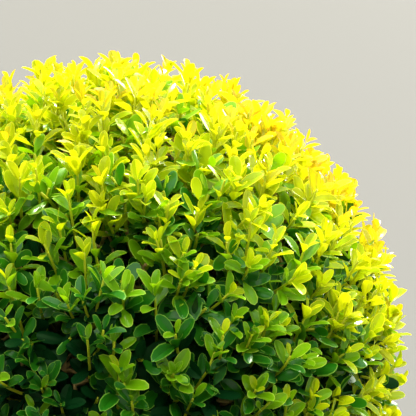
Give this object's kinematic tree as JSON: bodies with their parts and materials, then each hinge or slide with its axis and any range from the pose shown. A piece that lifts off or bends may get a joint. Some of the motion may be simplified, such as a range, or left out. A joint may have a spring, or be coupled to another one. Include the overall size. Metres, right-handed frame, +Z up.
{
  "type": "box topiary ball",
  "caption": "Clipped box shrub ball on a short stem, rooted in the ground, with leafy shoots standing out of a dense round crown.",
  "frame": {"origin": "middle of the flat cut under the stem, at ground level", "axes": "+Z up along the stem. The ball is round about its own middle, so +X and +Y are two level directions at right angles"},
  "size_m": [0.4922, 0.4939, 0.5055],
  "materials": {
    "bark": "rough grey-brown bark",
    "young_leaf": "satin yellow-green young leaves",
    "mature_leaf": "glossy mid-green older leaves"
  },
  "bodies": {
    "root": {"stem": "bark", "bough_top": "bark", "foliage_top": "young_leaf", "bough_upper_1": "bark", "foliage_upper_1": "young_leaf", "bough_upper_2": "bark", "foliage_upper_2": "young_leaf", "bough_upper_3": "bark", "foliage_upper_3": "young_leaf", "bough_upper_4": "bark", "foliage_upper_4": "young_leaf", "bough_upper_5": "bark", "foliage_upper_5": "young_leaf", "bough_lower_1": "bark", "foliage_lower_1": "mature_leaf", "bough_lower_2": "bark", "foliage_lower_2": "mature_leaf", "bough_lower_3": "bark", "foliage_lower_3": "mature_leaf", "bough_lower_4": "bark", "foliage_lower_4": "mature_leaf", "bough_lower_5": "bark", "foliage_lower_5": "mature_leaf", "bough_lower_6": "bark", "foliage_lower_6": "mature_leaf"}
  },
  "joints": []
}
